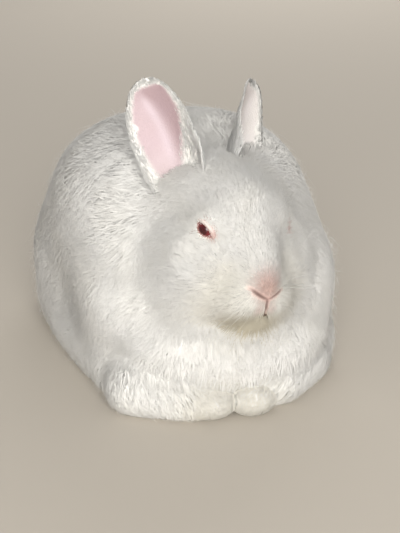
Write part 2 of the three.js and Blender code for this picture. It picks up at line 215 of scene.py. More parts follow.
# Skull, brows, cheeks, bridge of the nose, muzzle, its pads, tip of the nose and chin
round_head = melt(
    ellipsoid((0, 24, 8), (31, 34, 29)),
    *both_sides(lambda s: ellipsoid((s * 20, 0, 6), (15, 18, 14)), 9),
    *both_sides(lambda s: ellipsoid((s * 27, 5, -31), (25.5, 28, 32)), 12),
    (cone((0, -2, 12), (0, -25, -22), 21.5, 18), 13),
    (cone((0, -2, -18), (0, -19, -37), 23, 19), 10),
    *both_sides(lambda s: ellipsoid((s * 12.5, -24.5, -45), (17, 16, 15)), 13),
    (ellipsoid((0, -36, -33), (9, 6.5, 9)), 6),
    (cone((0, 8, -47), (0, -20, -57), 19, 10), 7),
)
FACE_HOLLOWS = [ellipsoid((s * 48.5, -23, -9), (15, 20, 17)) for s in (-1, 1)]
HOLLOW_MELT = 12
PAW_RADII = np.array((18, 14, 12))
LEGS_MELT = 2.5


def head_form(q):
    """The round head, hollow between each eye and the muzzle."""
    d = round_head(q)
    for hollow in FACE_HOLLOWS:
        d = carve_values(d, hollow(q), HOLLOW_MELT)
    return d


def foreleg_form(leg, wool, paw_inset=0.0):
    return melt(
        cone(leg["elbow"], leg["wrist"], 20 + wool, 13.5 + wool),
        (ellipsoid(leg["paw"], PAW_RADII - paw_inset), 10),
    )


def forelegs_form(wool, paw_inset=0.0):
    right, left = (foreleg_form(leg, wool, paw_inset) for leg in FORELEGS)
    return melt(right, (left, LEGS_MELT))


def hind_foot_form(s):
    return melt(
        cone((s * 64, 78, 13), (s * 68, -2, 12), 13, 12),
        (ellipsoid((s * 70, -16, 10), (15, 20, 11)), 8),
    )


tail_form = ellipsoid(TAIL_PLACE, TAIL_RADII)


# Head frame: x to its left, y back, z up, between the eyes
HEAD_AXES = np.array(
    Matrix.Rotation(radians(HEAD_TURN), 3, "Z") @ Matrix.Rotation(radians(HEAD_ROLL), 3, "Y")
)


def to_head(p):
    return (p - EYE_MIDDLE) @ HEAD_AXES


def from_head(q):
    return q @ HEAD_AXES.T + EYE_MIDDLE


def head_at(p):
    return head_form(to_head(p))


# The coat's outer surface, and the bare body that it grows on
outer_form = melt(wool_form, (forelegs_form(LEG_WOOL), 6), (tail_form, 8), (head_at, HEAD_MELT))
bare_body_form = melt(
    shifted(wool_form, BODY_COAT),
    (forelegs_form(LEG_WOOL - LEG_COAT, PAW_COAT), 11),
    *both_sides(hind_foot_form, 8),
    (shifted(tail_form, TAIL_COAT), 10),
)


def gradient(form, p):
    """Direction straight out of a form, from its values at the corners of a small tetrahedron."""
    step = 0.6
    corners = np.array([(1, -1, -1), (-1, -1, 1), (-1, 1, -1), (1, 1, 1)], float)
    return unit(sum(form(p + step * c)[:, None] * c for c in corners))


def onto(form, p, height=0.0):
    """Points moved to the given height over a form."""
    for _ in range(3):
        p = p + gradient(form, p) * (height - form(p))[:, None]
    return p


# Face: nostrils, cleft lip, mouth and lids, laid on the head as grooves and ridges
def smooth_path(points, count):
    """count points along a Catmull-Rom curve through the given points."""
    points = np.array(points, float)
    ends = np.vstack([2 * points[0] - points[1], points, 2 * points[-1] - points[-2]])
    out = []
    for t in np.linspace(0, len(points) - 1, count):
        i = min(int(t), len(points) - 2)
        f = t - i
        a, b, c, d = ends[i:i + 4]
        out.append(0.5 * (2 * b + (c - a) * f + (2 * a - 5 * b + 4 * c - d) * f * f
                          + (3 * b - a - 3 * c + d) * f ** 3))
    return np.array(out)


def tube_distance(path, radii):
    """Distance to a tube along a path, with a radius at each of its points."""

    def form(p):
        best = np.full(len(p), 1e3)
        for a, b, ra, rb in zip(path, path[1:], radii, radii[1:]):
            best = np.minimum(best, cone(a, b, ra, rb)(p))
        return best

    return form


def groove(points, radius, ends=(0.12, 0.88)):
    """Tube along points laid on the head. Its radius fades like the part of a half wave named by ends."""
    count = 8
    path = onto(head_form, smooth_path(points, count))
    fade = np.sin(np.linspace(*ends, count) * pi) ** 0.6
    return tube_distance(path, radius * fade)


def eye_plane(q):
    """Place of points along an eye's opening, from the inner corner, and across it upwards."""
    tilt = radians(EYE_TILT)
    y, z = q[:, 1] - LID_PLACE[1], q[:, 2] - LID_PLACE[2]
    return y * cos(tilt) + z * sin(tilt), -y * sin(tilt) + z * cos(tilt)


LID_POINTS = 24
LID_RIDGE_OUT = 2.6
LID_CREASE_OUT = 5.0
CREASE_RADIUS = 0.7


def eyelid_path(s, grow):
    """Points on the head round an eye's almond opening, as far out from it as grow."""
    half, over, under = EYE_OPENING
    a = round_turn(LID_POINTS)
    along = np.cos(a) * (half + grow)
    arch = np.where(np.sin(a) > 0, over + grow, under + grow)
    up = np.sign(np.sin(a)) * arch * np.abs(np.sin(a)) ** 1.3
    tilt = radians(EYE_TILT)
    y = LID_PLACE[1] + along * cos(tilt) - up * sin(tilt)
    z = LID_PLACE[2] + along * sin(tilt) + up * cos(tilt)
    path = np.stack([np.full(LID_POINTS, s * (EYE_PLACE[0] + 8)), y, z], -1)
    for _ in range(12):
        path[:, 0] -= s * head_form(path)
    return path


def lid_ridge(s):
    """Soft fold of skin over an eye."""
    upper = slice(1, LID_POINTS // 2)
    a = round_turn(LID_POINTS)[upper]
    return tube_distance(eyelid_path(s, LID_RIDGE_OUT)[upper], 0.2 + 0.7 * np.sin(a))


def eye_opening(s):
    """An almond cut through the lids, between an upper and a lower arc."""
    half, over, under = EYE_OPENING
    arcs = [(sign, (half ** 2 + h ** 2) / (2 * h), h) for sign, h in ((1, over), (-1, under))]

    def form(q):
        along, up = eye_plane(q)
        inside = [np.hypot(along, up - sign * (h - radius)) - radius for sign, radius, h in arcs]
        return np.maximum(np.maximum(*inside), EYE_PLACE[0] - s * q[:, 0])

    return form


LID_RIDGES = {s: lid_ridge(s) for s in (-1, 1)}
LID_CREASES = {s: [
    tube_distance(eyelid_path(s, LID_CREASE_OUT)[2:11], np.full(9, CREASE_RADIUS)),
    groove([(s * 36, 1, 4.5), (s * 37, 7, 3), (s * 38, 14, -2)], CREASE_RADIUS),
    groove([(s * 37, 0.5, 0), (s * 39, 4.5, -2.5), (s * 42, 11, -6)], CREASE_RADIUS),
] for s in (-1, 1)}
OPENINGS = {s: eye_opening(s) for s in (-1, 1)}

# Lines of the face through points in the head frame, each with its radius
RIGHT_NOSTRIL = [(-14.4, -36.3, -31.9), (-9, -40.6, -35.9), (-5, -41.6, -38.5), (-0.5, -41.3, -40.6)]
LEFT_NOSTRIL = [(16.5, -36.5, -35.2), (11.5, -39.5, -36.6), (6.5, -41, -38.4), (0.5, -41.3, -40.6)]
LIP_CLEFT = [(-0.3, -41.3, -41), (0.3, -39.4, -44.5), (1.2, -37.7, -48.9), (2.2, -35.4, -53)]
RIGHT_MOUTH = [(2.2, -35.2, -53.4), (0.4, -33, -56.2), (-2, -31.5, -58.5)]
LEFT_MOUTH = [(2.2, -35.2, -53.4), (5.2, -34.5, -55.2), (8, -33, -57.5)]
NOSE_LINES = [
    groove(RIGHT_NOSTRIL, 1.1, ends=(0.35, 0.9)),
    groove(LEFT_NOSTRIL, 0.9, ends=(0.2, 0.9)),
    groove(LIP_CLEFT, 1.0, ends=(0.3, 0.8)),
]
FACE_LINES = [*NOSE_LINES, *(groove(line, 1.5, ends=(0.4, 0.9)) for line in (RIGHT_MOUTH, LEFT_MOUTH))]
LINE_MELT = 1.6


def head_coat(q):
    """Depth of the short fur on the head, least round the eyes, the nose and the lips."""
    beside = np.abs(q[:, 0])
    eye = norm(np.stack([beside - 33, q[:, 1] + 6, q[:, 2] - 2], -1))
    nose = norm(q - (0, -40, -38))
    lips = norm((q - (0, -36, -56)) / (1.6, 1, 1))
    share = np.minimum(np.minimum(smooth(8, 19, eye), smooth(9, 24, nose)), smooth(3, 12, lips))
    return lerp(LEAST_COAT, HEAD_COAT, share)


def face_values(q, d):
    """The head's distance d with the face's details worked in, for points q in the head frame."""
    near = np.where(d < 8)[0]
    at = q[near]
    e = d[near]
    for s in (-1, 1):
        from_eye = norm(at - EYE_PLACE * (s, 1, 1))
        around = (from_eye < 26) & (s * at[:, 0] > 15)
        if around.any():
            q_eye, local = at[around], e[around]
            along, up = eye_plane(q_eye)
            half, over, _ = EYE_OPENING
            hug = fall(1.0, 2.6, np.hypot(along / half, up / over))
            local = lerp(local, from_eye[around] - EYE_RADIUS - LID_THICK, hug)
            local = melt_values(local, LID_RIDGES[s](q_eye), 3.0)
            for crease in LID_CREASES[s]:
                local = carve_values(local, crease(q_eye), LINE_MELT)
            e[around] = carve_values(local, OPENINGS[s](q_eye), 0.4)
    front = at[:, 1] < -10
    local = e[front]
    for cut in FACE_LINES:
        local = carve_values(local, cut(at[front]), LINE_MELT)
    e[front] = local
    d[near] = e
    return d


def skin_form(p):
    q = to_head(p)
    head = face_values(q, head_form(q) + head_coat(q))
    return np.maximum(melt_values(bare_body_form(p), head, NECK_MELT), FLOOR_GAP - p[:, 2])


# Surface of a form on a grid that is finer round the head
COARSE = 4.0
FINE = 1.05


def grid_axis(low, high, fine_low, fine_high):
    """Places of grid lines, finer in the middle, in a number that blocks of four share out."""
    ends = ((low, fine_low, COARSE), (fine_low, fine_high, FINE), (fine_high, high + COARSE, COARSE))
    axis = np.concatenate([np.arange(*part) for part in ends])
    return axis[:len(axis) // 4 * 4]


def grid_values(form, axes):
    """The form at every grid point, worked out in full only in blocks near its surface."""
    blocks = [a.reshape(-1, 4) for a in axes]
    middles = [b.mean(1) for b in blocks]
    halves = [(b[:, 3] - b[:, 0]) / 2 + 0.5 for b in blocks]
    centre = np.stack(np.meshgrid(*middles, indexing="ij"), -1).reshape(-1, 3)
    reach = norm(np.stack(np.meshgrid(*halves, indexing="ij"), -1).reshape(-1, 3))
    rough = form(centre)
    count = [len(m) for m in middles]
    values = np.repeat(rough, 64).reshape(*count, 4, 4, 4).astype(np.float32)
    active = np.where(np.abs(rough) < reach * 1.4 + 4)[0]
    i, j, k = np.unravel_index(active, count)
    x = blocks[0][i][:, :, None, None]
    y = blocks[1][j][:, None, :, None]
    z = blocks[2][k][:, None, None, :]
    shape = (len(active), 4, 4, 4)
    points = np.stack([np.broadcast_to(c, shape) for c in (x, y, z)], -1).reshape(-1, 3)
    values[i, j, k] = form(points).reshape(shape)
    return values.transpose(0, 3, 1, 4, 2, 5).reshape([c * 4 for c in count])


def surface_nets(form, axes):
    """Vertices and quads of the form's surface."""
    v = grid_values(form, axes)
    n = v.shape
    inside = v < 0
    corners = [(i, j, k) for i in (0, 1) for j in (0, 1) for k in (0, 1)]
    corners_in = np.zeros([m - 1 for m in n], np.int8)
    for i, j, k in corners:
        corners_in += inside[i:n[0] - 1 + i, j:n[1] - 1 + j, k:n[2] - 1 + k]
    active = (corners_in > 0) & (corners_in < 8)
    cells = np.argwhere(active)
    index = np.full(active.shape, -1)
    index[active] = np.arange(len(cells))
    value = np.stack([v[tuple((cells + corner).T)] for corner in corners], -1)
    place = np.array(corners, float)
    total = np.zeros((len(cells), 3))
    crossings = np.zeros(len(cells))
    for a, b in [(a, b) for a in range(8) for b in range(a + 1, 8) if a ^ b in (1, 2, 4)]:
        va, vb = value[:, a], value[:, b]
        crossed = (va < 0) != (vb < 0)
        t = np.where(crossed, va / np.where(crossed, va - vb, 1), 0)
        total[crossed] += (place[a] + t[:, None] * (place[b] - place[a]))[crossed]
        crossings[crossed] += 1
    offset = total / crossings[:, None]
    columns = [a[c] + part * (a[c + 1] - a[c]) for a, c, part in zip(axes, cells.T, offset.T)]
    quads = []
    for d in range(3):
        e, f = (d + 1) % 3, (d + 2) % 3
        at = np.argwhere(np.diff(inside, axis=d))
        at = at[(at[:, e] > 0) & (at[:, f] > 0) & (at[:, e] < n[e] - 1) & (at[:, f] < n[f] - 1)]
        outward = inside[tuple(at.T)]
        back = np.eye(3, dtype=int)[[e, f]]
        ring = [at - np.dot(share, back) for share in ((1, 1), (0, 1), (0, 0), (1, 0))]
        quad = np.stack([index[tuple(cell.T)] for cell in ring], -1)
        quad[~outward] = quad[~outward][:, ::-1]
        quads.append(quad)
    return np.stack(columns, -1), np.concatenate(quads)


# Objects and meshes
def new_object(name, data):
    item = bpy.data.objects.new(name, data)
    bpy.context.scene.collection.objects.link(item)
    return item


def mesh_object(name, points, faces, material):
    """points in millimetres, faces an array of triangles or quads."""
    mesh = bpy.data.meshes.new(name)
    mesh.vertices.add(len(points))
    mesh.vertices.foreach_set("co", (points * MM).astype(np.float32).ravel())
    sides = faces.shape[1]
    mesh.loops.add(faces.size)
    mesh.loops.foreach_set("vertex_index", faces.astype(np.int32).ravel())
    mesh.polygons.add(len(faces))
    mesh.polygons.foreach_set("loop_start", np.arange(0, faces.size, sides, dtype=np.int32))
    mesh.update(calc_edges=True)
    mesh.shade_smooth()
    mesh.materials.append(material)
    return new_object(name, mesh)


def ring_quads(rings, around):
    """Quads between rings of points, around of them in each."""
    j = np.arange(around)
    k = (j + 1) % around
    low = np.arange(rings - 1)[:, None] * around
    return np.stack([low + j, low + k, low + around + k, low + around + j], -1).reshape(-1, 4)


def worked_over(piece, change):
    """A piece's mesh changed by the given function, its faces then turned outwards."""
    b = bmesh.new()
    b.from_mesh(piece.data)
    change(b)
    bmesh.ops.recalc_face_normals(b, faces=b.faces[:])
    b.to_mesh(piece.data)
    b.free()


def tint_attribute(piece, colours):
    colours = np.concatenate([colours, np.ones((len(colours), 1))], -1)
    attribute = piece.data.attributes.new("tint", "FLOAT_COLOR", "POINT")
    attribute.data.foreach_set("color", colours.astype(np.float32).ravel())


def body_piece(piece, slot, *nodes):
    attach(piece, "root")
    if nodes:
        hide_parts(*nodes)


# Ears: a sheet rolled into a cup, in a frame of its own: x across, y towards the opening, z up
def ear_frame(s):
    up = np.array(EARS[s]["lean"], float)
    up /= np.linalg.norm(up)
    turn = radians(EARS[s]["opening"])
    opening = np.array([s * sin(turn), -cos(turn), 0.0])
    opening -= up * (opening @ up)
    opening /= np.linalg.norm(opening)
    across = np.cross(opening, up)
    return np.stack([across, opening, up], -1)


def ear_half_width(u):
    lower = lerp(EAR_ROOT_WIDTH, 1, np.sin(np.minimum(u / EAR_WIDEST, 1) * pi / 2))
    upper = np.sqrt(np.clip(1 - np.clip((u - EAR_WIDEST) / (1 - EAR_WIDEST), 0, 1) ** 2.3, 0, 1))
    return EAR_WIDTH / 2 * lower * upper


def ear_point(s, u, v, lift):
    """A point of an ear at share u of its height and v across it (-1 to 1), lift off its middle sheet
    towards the opening. Millimetres, in the world."""
    half = np.maximum(ear_half_width(u), 0.4)
    roll = lerp(EAR_ROLL[0], EAR_ROLL[1], smooth(0, 0.95, u))
    radius = half / np.sin(roll)
    ripple = 0.5 * np.sin(9 * u + 2.2 * v * s) + 0.35 * np.sin(21 * u + 4 * v)
    r = radius - lift - ripple * np.minimum(1, 4 * u)
    angle = v * roll
    local = np.stack([r * np.sin(angle), radius - r * np.cos(angle) + EAR_BEND * u * u, u * EAR_LENGTH], -1)
    return from_head(local @ ear_frame(s).T + EAR_ROOT * (s, 1, 1))


EAR_ROWS = 80
EAR_LOOP = 88
EAR_THINNING = 0.45  # share of its thickness that an ear loses up to the tip
EAR_EDGE = 0.98  # the sheet ends here, a little inside the width


def ear_surface(s):
    """Surface of one ear, as rings round its thin section from root to tip."""
    u = np.sin(np.linspace(0, 1, EAR_ROWS) * pi / 2) ** 1.2
    u[-1] = 1.0
    a = round_turn(EAR_LOOP)
    uu, aa = np.meshgrid(u, a, indexing="ij")
    thick = EAR_THICK * (1 - EAR_THINNING * uu * uu) * np.sqrt(np.clip(1 - uu ** 12, 0, 1))
    lift = thick / 2 * np.sin(aa)
    v = np.cos(aa) * EAR_EDGE
    return ear_point(s, uu.ravel(), v.ravel(), lift.ravel()), ring_quads(EAR_ROWS, EAR_LOOP)


# Materials
def nodes_of(name):
    material = bpy.data.materials.new(name)
    material.use_nodes = True
    tree = material.node_tree
    return material, tree, tree.nodes["Principled BSDF"]


def add_node(tree, kind, **values):
    node = tree.nodes.new(kind)
    for key, value in values.items():
        if hasattr(node, key):
            setattr(node, key, value)
        else:
            node.inputs[key].default_value = value
    return node


def set_inputs(node, values):
    for key, value in values.items():
        node.inputs[key].default_value = value


def object_place(tree):
    return add_node(tree, "ShaderNodeTexCoord").outputs["Object"]


def noise(tree, place, scale, detail=3.0):
    node = add_node(tree, "ShaderNodeTexNoise", Scale=scale, Detail=detail)
    tree.links.new(place, node.inputs["Vector"])
    return node.outputs["Fac"]


def ramp(tree, factor, *stops):
    node = add_node(tree, "ShaderNodeValToRGB")
    elements = node.color_ramp.elements
    while len(elements) < len(stops):
        elements.new(0.5)
    for element, (at, colour) in zip(elements, stops):
        element.position = at
        element.color = (*colour, 1)
    tree.links.new(factor, node.inputs["Fac"])
    return node.outputs["Color"]


def multiply(tree, a, b):
    node = add_node(tree, "ShaderNodeMix", data_type="RGBA", blend_type="MULTIPLY")
    node.inputs["Factor"].default_value = 1.0
    tree.links.new(a, node.inputs["A"])
    tree.links.new(b, node.inputs["B"])
    return node.outputs["Result"]


def bump(tree, height, shader, distance):
    node = add_node(tree, "ShaderNodeBump", Distance=distance, Strength=1.0)
    tree.links.new(height, node.inputs["Height"])
    tree.links.new(node.outputs["Normal"], shader.inputs["Normal"])


SCATTER_REACH = 0.002
FUR_SPECULAR = 0.25


def tinted(name, roughness, fine_scale, patch_scale, bump_depth=0.0, subsurface=0.0):
    """Fur or skin: the tint painted on the mesh, broken up by fine and broad noise."""
    material, tree, shader = nodes_of(name)
    place = object_place(tree)
    tint = add_node(tree, "ShaderNodeAttribute", attribute_name="tint").outputs["Color"]
    fine = noise(tree, place, fine_scale)
    broad = noise(tree, place, patch_scale, 2.0)
    colour = multiply(tree, tint, ramp(tree, fine, (0.3, (0.97, 0.97, 0.965)), (0.7, (1, 1, 1))))
    colour = multiply(tree, colour, ramp(tree, broad, (0.35, (0.97, 0.965, 0.95)), (0.62, (1, 1, 1))))
    tree.links.new(colour, shader.inputs["Base Color"])
    set_inputs(shader, {"Roughness": roughness, "Specular IOR Level": FUR_SPECULAR})
    if subsurface:
        scatter = {"Weight": subsurface, "Radius": (SCATTER_REACH,) * 3, "Scale": 1.0}
        set_inputs(shader, {f"Subsurface {key}": value for key, value in scatter.items()})
    if bump_depth:
        bump(tree, fine, shader, bump_depth)
    return material


def eye_material():
    """Ruby eye: a dark pupil, and an iris that grows paler away from it."""
    material, tree, shader = nodes_of("ruby_eye")
    rim = add_node(tree, "ShaderNodeAttribute", attribute_name="off_axis").outputs["Fac"]
    place = object_place(tree)
    colour = ramp(tree, rim, (0.0, (0.045, 0.003, 0.005)), (0.2, (0.06, 0.004, 0.006)),
                  (0.3, (0.13, 0.01, 0.014)), (0.5, (0.24, 0.03, 0.035)), (0.75, (0.3, 0.09, 0.09)))
    streak = ramp(tree, noise(tree, place, 900, 2), (0.3, (0.6, 0.6, 0.6)), (0.7, (1, 1, 1)))
    tree.links.new(multiply(tree, colour, streak), shader.inputs["Base Color"])
    set_inputs(shader, {"Roughness": 0.16, "Coat Weight": 0.2, "Coat Roughness": 0.08})
    return material


def whisker_look():
    material, tree, shader = nodes_of("whisker")
    fine = noise(tree, object_place(tree), 200, 6.0)
    colour = ramp(tree, fine, (0.3, (0.75, 0.74, 0.7)), (0.7, (0.85, 0.84, 0.8)))
    tree.links.new(colour, shader.inputs["Base Color"])
    set_inputs(shader, {"Roughness": 0.4})
    bump(tree, fine, shader, 0.00002)
    return material


WHITE = np.array([0.955, 0.945, 0.92])
CREAM = np.array([0.945, 0.91, 0.82])
# yellowish fur under the chin, made darker as painted shade under the chin
CHIN_STAIN_AND_SHADE = np.array([0.60, 0.53, 0.38])
PINK = np.array([0.72, 0.50, 0.46])
# dark red-brown rims of the lids, darker still as painted shade of the lids
LID_RIM_AND_SHADE = np.array([0.22, 0.105, 0.095])
NOSE = np.array([0.56, 0.38, 0.34])
BARE_SKIN_SHADE = 0.72  # how bright bare skin is beside the fur: painted shade, matching the shade among the fur's tufts
EAR_PINK = np.array([0.67, 0.53, 0.57])
EAR_LILAC = np.array([0.82, 0.70, 0.77])
# painted shade inside the ear's cup
EAR_MAUVE_SHADE = np.array([0.40, 0.28, 0.30])
# near-black painted shade inside the nostrils, the cleft of the lip and the mouth
SLIT_SHADE = np.array([0.07, 0.035, 0.028])

wool_material = tinted("angora_wool", 0.85, 160, 22, subsurface=0.35)
short_material = tinted("short_fur", 0.8, 500, 40, subsurface=0.4)
skin_material = tinted("skin_and_down", 0.8, 900, 40, bump_depth=0.0004)
ear_hair_material = tinted("ear_hair", 0.8, 500, 40, subsurface=0.7)
whisker_material = whisker_look()
ruby_material = eye_material()


def mix_tint(base, colour, share):
    return base + (colour - base) * np.clip(share, 0, 1)[:, None]


def face_tint(p):
    """Colour of the head's skin and short fur at points in the world."""
    q = to_head(p)
    colour = np.tile(WHITE, (len(p), 1))
    for s, share in ((-1, 0.75), (1, 0.5)):
        cheek = norm(q - (s * 14, -20, -44))
        colour = mix_tint(colour, CREAM, share * fall(14, 34, cheek))
    # Under the chin: yellowish fur, darkened further by painted shade under the chin
    chin = norm((q - (-3, -30, -58)) * (0.6, 1, 1))
    colour = mix_tint(colour, CHIN_STAIN_AND_SHADE, 0.85 * fall(5, 17, chin))
    nose = norm((q - (-1.5, -40.5, -31.5)) / (1.1, 1.2, 1.3))
    colour = mix_tint(colour, NOSE, 0.95 * fall(3, 14, nose))
    for s in (-1, 1):
        corner = norm((q - (s * 29.3, -13.4, -2.0)) / (1, 1.2, 1))
        colour = mix_tint(colour, PINK, 0.9 * fall(2.0, 6.5, corner))
        # Pink of the lips beside the cleft, partly painted shade there
        lip = norm(q - (s * 4.5, -38, -46.5))
        colour = mix_tint(colour, PINK, 0.55 * fall(2, 6.5, lip))
    return colour


def line_tint(p, colour):
    """Darker skin of the head as painted shade; pink round the eyes with painted shade along the lid
    creases; dark lid rims, partly painted shade; pink round the nostrils; and painted shade in the
    nostrils, the cleft of the lip and the mouth.
    """
    q = to_head(p)
    # Bare skin of the head painted darker, as painted shade
    colour = colour * lerp(BARE_SKIN_SHADE, 1.0, smooth(0, 12, head_form(q)))[:, None]
    for s in (-1, 1):
        near = (s * q[:, 0] > 10) & (head_form(q) > -6)
        eye = np.where(near, OPENINGS[s](q), 20)
        colour = mix_tint(colour, PINK * BARE_SKIN_SHADE, 0.9 * fall(1.2, 3.4, eye))
        # Painted shade along the creases round each eye, in pink
        for crease in LID_CREASES[s]:
            colour = mix_tint(colour, PINK * BARE_SKIN_SHADE, 0.85 * near * fall(0.6, 2.4, crease(q)))
        # Dark red-brown lid rims along each opening, darkened further as painted shade of the lids
        colour = mix_tint(colour, LID_RIM_AND_SHADE, 0.95 * fall(0.3, 1.4, eye))
    # Pink skin round the nostrils and the cleft, which also dims the lit lip beside them as painted shade
    for cut in NOSE_LINES:
        colour = mix_tint(colour, PINK * BARE_SKIN_SHADE, 0.6 * fall(0.8, 3.2, cut(q)))
    # Painted shade in the slits of the nostrils, the cleft of the lip and the mouth
    for cut in FACE_LINES:
        colour = mix_tint(colour, SLIT_SHADE, 0.95 * fall(-0.1, 1.0, cut(q)))
    return colour


# Skin
def make_skin():
    axes = [grid_axis(-104, 110, -56, 50), grid_axis(-150, 176, -148, -50), grid_axis(-6, 176, 68, 176)]
    skin = mesh_object("skin", *surface_nets(skin_form, axes), skin_material)
    for name, s in SIDES.items():
        ear = mesh_object(f"ear_{name}_form", *ear_surface(s), skin_material)
        worked_over(ear, close_ends)
        join = skin.modifiers.new("ear", "BOOLEAN")
        join.operation = "UNION"
        join.solver = "MANIFOLD"
        join.object = ear
        depsgraph = bpy.context.evaluated_depsgraph_get()
        fused = bpy.data.meshes.new_from_object(skin.evaluated_get(depsgraph))
        skin.modifiers.clear()
        skin.data = fused
        bpy.data.objects.remove(ear)
    skin.data.shade_smooth()
    return skin


def close_ends(b):
    """An ear's surface closed by a face at its root and drawn together at its tip."""
    b.verts.ensure_lookup_table()
    b.faces.new([b.verts[j] for j in range(EAR_LOOP)][::-1])
    tip = [b.verts[(EAR_ROWS - 1) * EAR_LOOP + j] for j in range(EAR_LOOP)]
    bmesh.ops.pointmerge(b, verts=tip, merge_co=sum((v.co for v in tip), Vector()) / EAR_LOOP)
    bmesh.ops.triangulate(b, faces=b.faces[:])


def points_of(piece):
    co = np.empty(len(piece.data.vertices) * 3, np.float32)
    piece.data.vertices.foreach_get("co", co)
    return co.reshape(-1, 3).astype(float) / MM


def ear_share(s, p):
    """Height share, share across towards the middle of the head, and lift off the sheet, for an ear."""
    q = (to_head(p) - EAR_ROOT * (s, 1, 1)) @ ear_frame(s)
    u = np.clip(q[:, 2] / EAR_LENGTH, 0, 1)
    roll = lerp(EAR_ROLL[0], EAR_ROLL[1], smooth(0, 0.95, u))
    radius = np.maximum(ear_half_width(u), 0.4) / np.sin(roll)
    x = q[:, 0]
    y = radius + EAR_BEND * u * u - q[:, 1]
    v = np.arctan2(x, y) / roll
    lift = radius - np.hypot(x, y)
    return u, v * s, lift, q[:, 2]


def ear_bare(u, inward):
    """Share of bare skin inside an ear, between the fur of its rim and the broad fur of its inner edge."""
    rim = 3.6 + 6 * fall(0.2, 0.8, u)
    inner_edge = np.minimum(0.8, lerp(0.1, 0.8, (u - 0.28) / 0.46))
    bare = smooth(rim - 2, rim + 2.5, (1 + inward) * ear_half_width(u))
    return bare * fall(inner_edge - 0.14, inner_edge + 0.1, inward) * fall(0.92, 0.965, u)


def ear_tint(s, u, inward, lift):
    """Colour inside and outside an ear: pink skin, painted shade in mauve towards its inner edge, its tip
    and its root, and a lilac streak.
    """
    bare = ear_bare(u, inward) * (lift > 0) * EARS[s]["flush"]
    colour = mix_tint(np.tile(WHITE, (len(u), 1)), EAR_PINK, bare * lerp(0.85, 1.0, smooth(0.3, 0.6, u)))
    # Painted shade of the ear's cup, in mauve: towards its inner edge, at its tip, and low down near its
    # root
    middle = -0.02 - 4 * np.maximum(u - 0.6, 0) ** 2
    cup_shade = smooth(-0.1, 0.5, inward - middle) + 0.5 * smooth(0.8, 0.95, u)
    cup_shade += 0.8 * fall(0.1, 0.45, u)
    colour = mix_tint(colour, EAR_MAUVE_SHADE, 0.75 * bare * np.minimum(cup_shade, 1))
    streak = np.exp(-((inward - middle) / 0.13) ** 2) * smooth(0.3, 0.5, u) * fall(0.82, 0.92, u)
    return mix_tint(colour, EAR_LILAC, 0.55 * bare * streak)


def paint_skin(skin):
    p = points_of(skin)
    colour = line_tint(p, face_tint(p))
    for s in (-1, 1):
        u, inward, lift, high = ear_share(s, p)
        on_ear = (np.abs(lift) < 4) & (np.abs(inward) < 1.3) & (high > 3) & (high < EAR_LENGTH + 3)
        on_ear &= head_at(p) > 1.5
        # Ear skin painted darker too, as painted shade
        colour[on_ear] = BARE_SKIN_SHADE * ear_tint(s, u, inward, lift)[on_ear]
    tint_attribute(skin, colour)


# Eyes
def make_eye(name, s):
    """Eyeball with a slightly bulging cornea, a hair smaller than its place between the lids."""
    rings, around = 40, 64
    centre = from_head(EYE_PLACE * (s, 1, 1))
    axis = unit(HEAD_AXES @ np.array([s * 0.88, -0.44, 0.0]))
    side = unit(np.cross(axis, (0, 0, 1)))
    up = np.cross(side, axis)
    polar = np.linspace(0, pi, rings)
    turn = round_turn(around)
    pp, tt = np.meshgrid(polar, turn, indexing="ij")
    bulge = 0.35 * np.exp(-(pp / 0.5) ** 2)
    r = EYE_RADIUS - 0.25 + bulge
    direction = (np.cos(pp)[..., None] * axis + (np.sin(pp) * np.cos(tt))[..., None] * side
                 + (np.sin(pp) * np.sin(tt))[..., None] * up)
    points = (centre + r[..., None] * direction).reshape(-1, 3)
    off_axis = np.clip(pp.ravel() / (pi / 2), 0, 1)
    eye = mesh_object(f"eyeball_{name}", points, ring_quads(rings, around), ruby_material)
    attribute = eye.data.attributes.new("off_axis", "FLOAT", "POINT")
    attribute.data.foreach_set("value", off_axis.astype(np.float32))
    worked_over(eye, lambda b: bmesh.ops.remove_doubles(b, verts=b.verts[:], dist=1e-6))
    eye.data.shade_smooth()
    body_piece(eye, "eye", f"eye_{name}")


# Coat
def octahedral(direction):
    """Unwrap of a star-shaped surface about its middle onto a square from 0 to 1."""
    d = direction / np.abs(direction).sum(-1, keepdims=True)
    flat = d[:, :2].copy()
    under = d[:, 2] < 0
    folded = (1 - np.abs(flat[:, ::-1])) * np.where(flat >= 0, 1, -1)
    flat[under] = folded[under]
    return flat * 0.5 + 0.5


PATCH = 0.003
OWN_SHADING = 0.12  # how far a tuft is shaded by its own roundness, and not by the coat's
ROOT_SHADE = 0.97
TINT_SPREAD = (0.97, 1.02)
LENGTH_SPREAD = (0.75, 1.2)
WIDTH_SPREAD = (0.7, 1.25)


